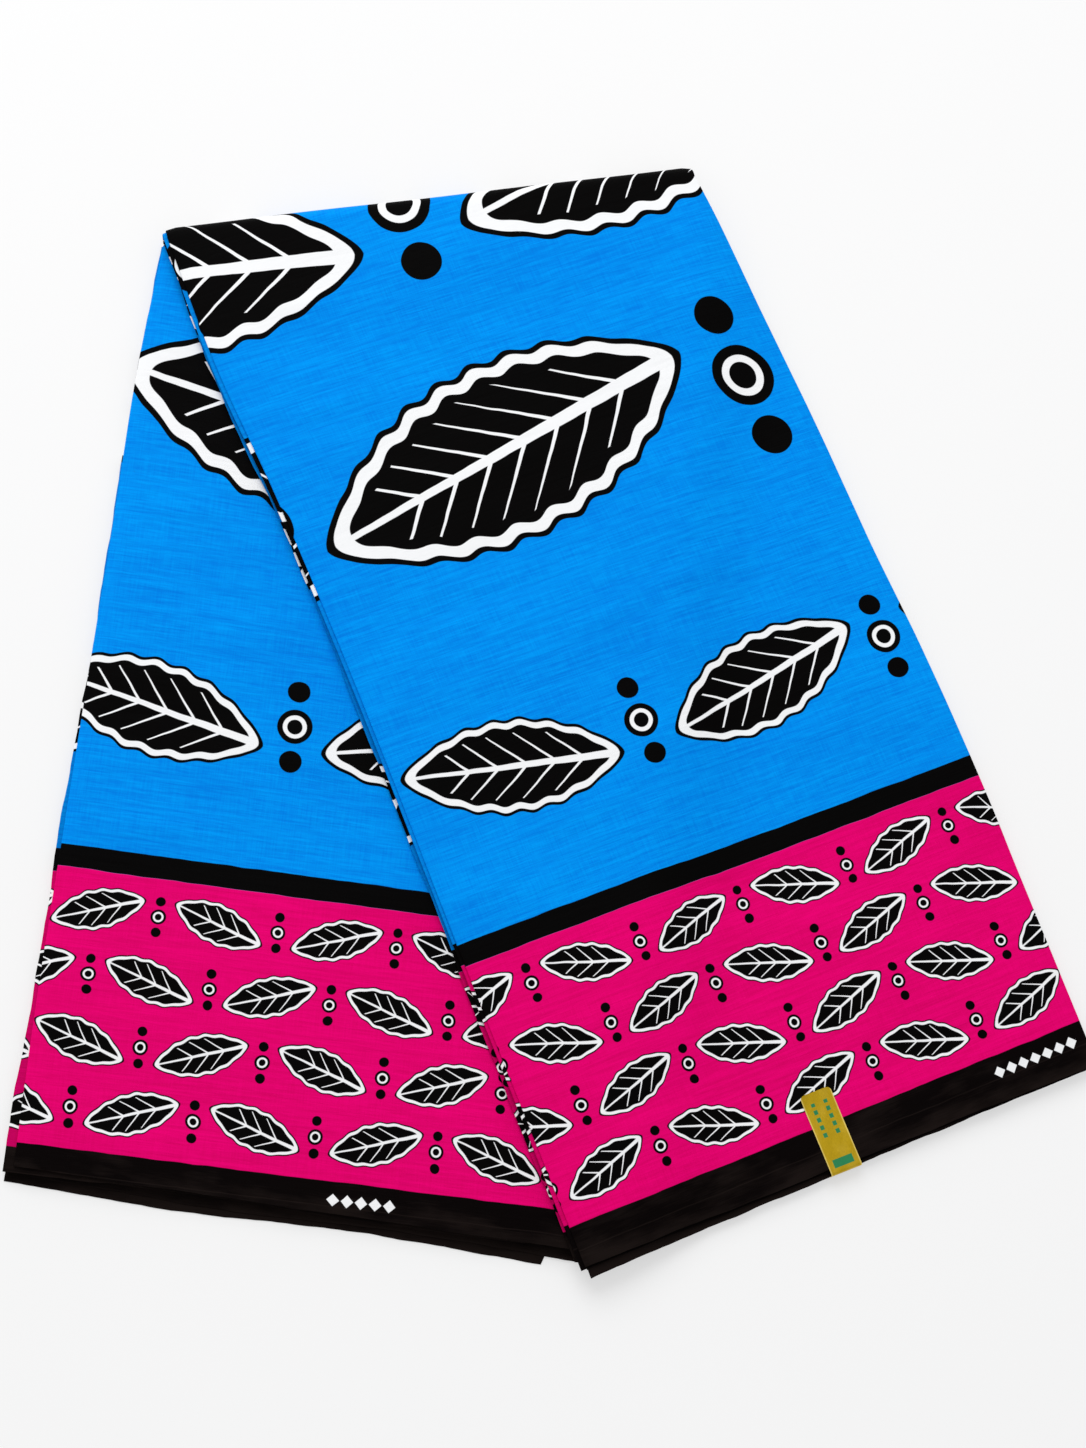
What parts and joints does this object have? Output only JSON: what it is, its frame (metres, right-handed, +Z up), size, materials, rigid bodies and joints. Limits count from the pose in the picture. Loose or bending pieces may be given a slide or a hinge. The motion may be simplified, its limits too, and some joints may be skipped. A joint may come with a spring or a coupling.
{
  "type": "folded wax print fabric",
  "caption": "Length of printed cotton cloth pleated into a flat packet and doubled over on a slanted fold, lying on a table as an upside-down V.",
  "frame": {"origin": "on the table, under the middle of the whole", "axes": "+Y from the hems towards the top fold, +Z up from the table, +X to the right"},
  "size_m": [0.5696, 0.632, 0.0163],
  "materials": {
    "printed_cloth": "fine plain weave cotton, printed, with a faint waxy sheen",
    "cloth_layers": "folded edges of the same printed cotton",
    "foil_label": "satin gold foil film with plain green bars"
  },
  "bodies": {
    "root": {"back_layers": "cloth_layers", "back_top_sheet": "printed_cloth", "front_layers": "cloth_layers", "front_second_sheet": "printed_cloth", "front_top_sheet": "printed_cloth", "hem_label": "foil_label"}
  },
  "joints": []
}
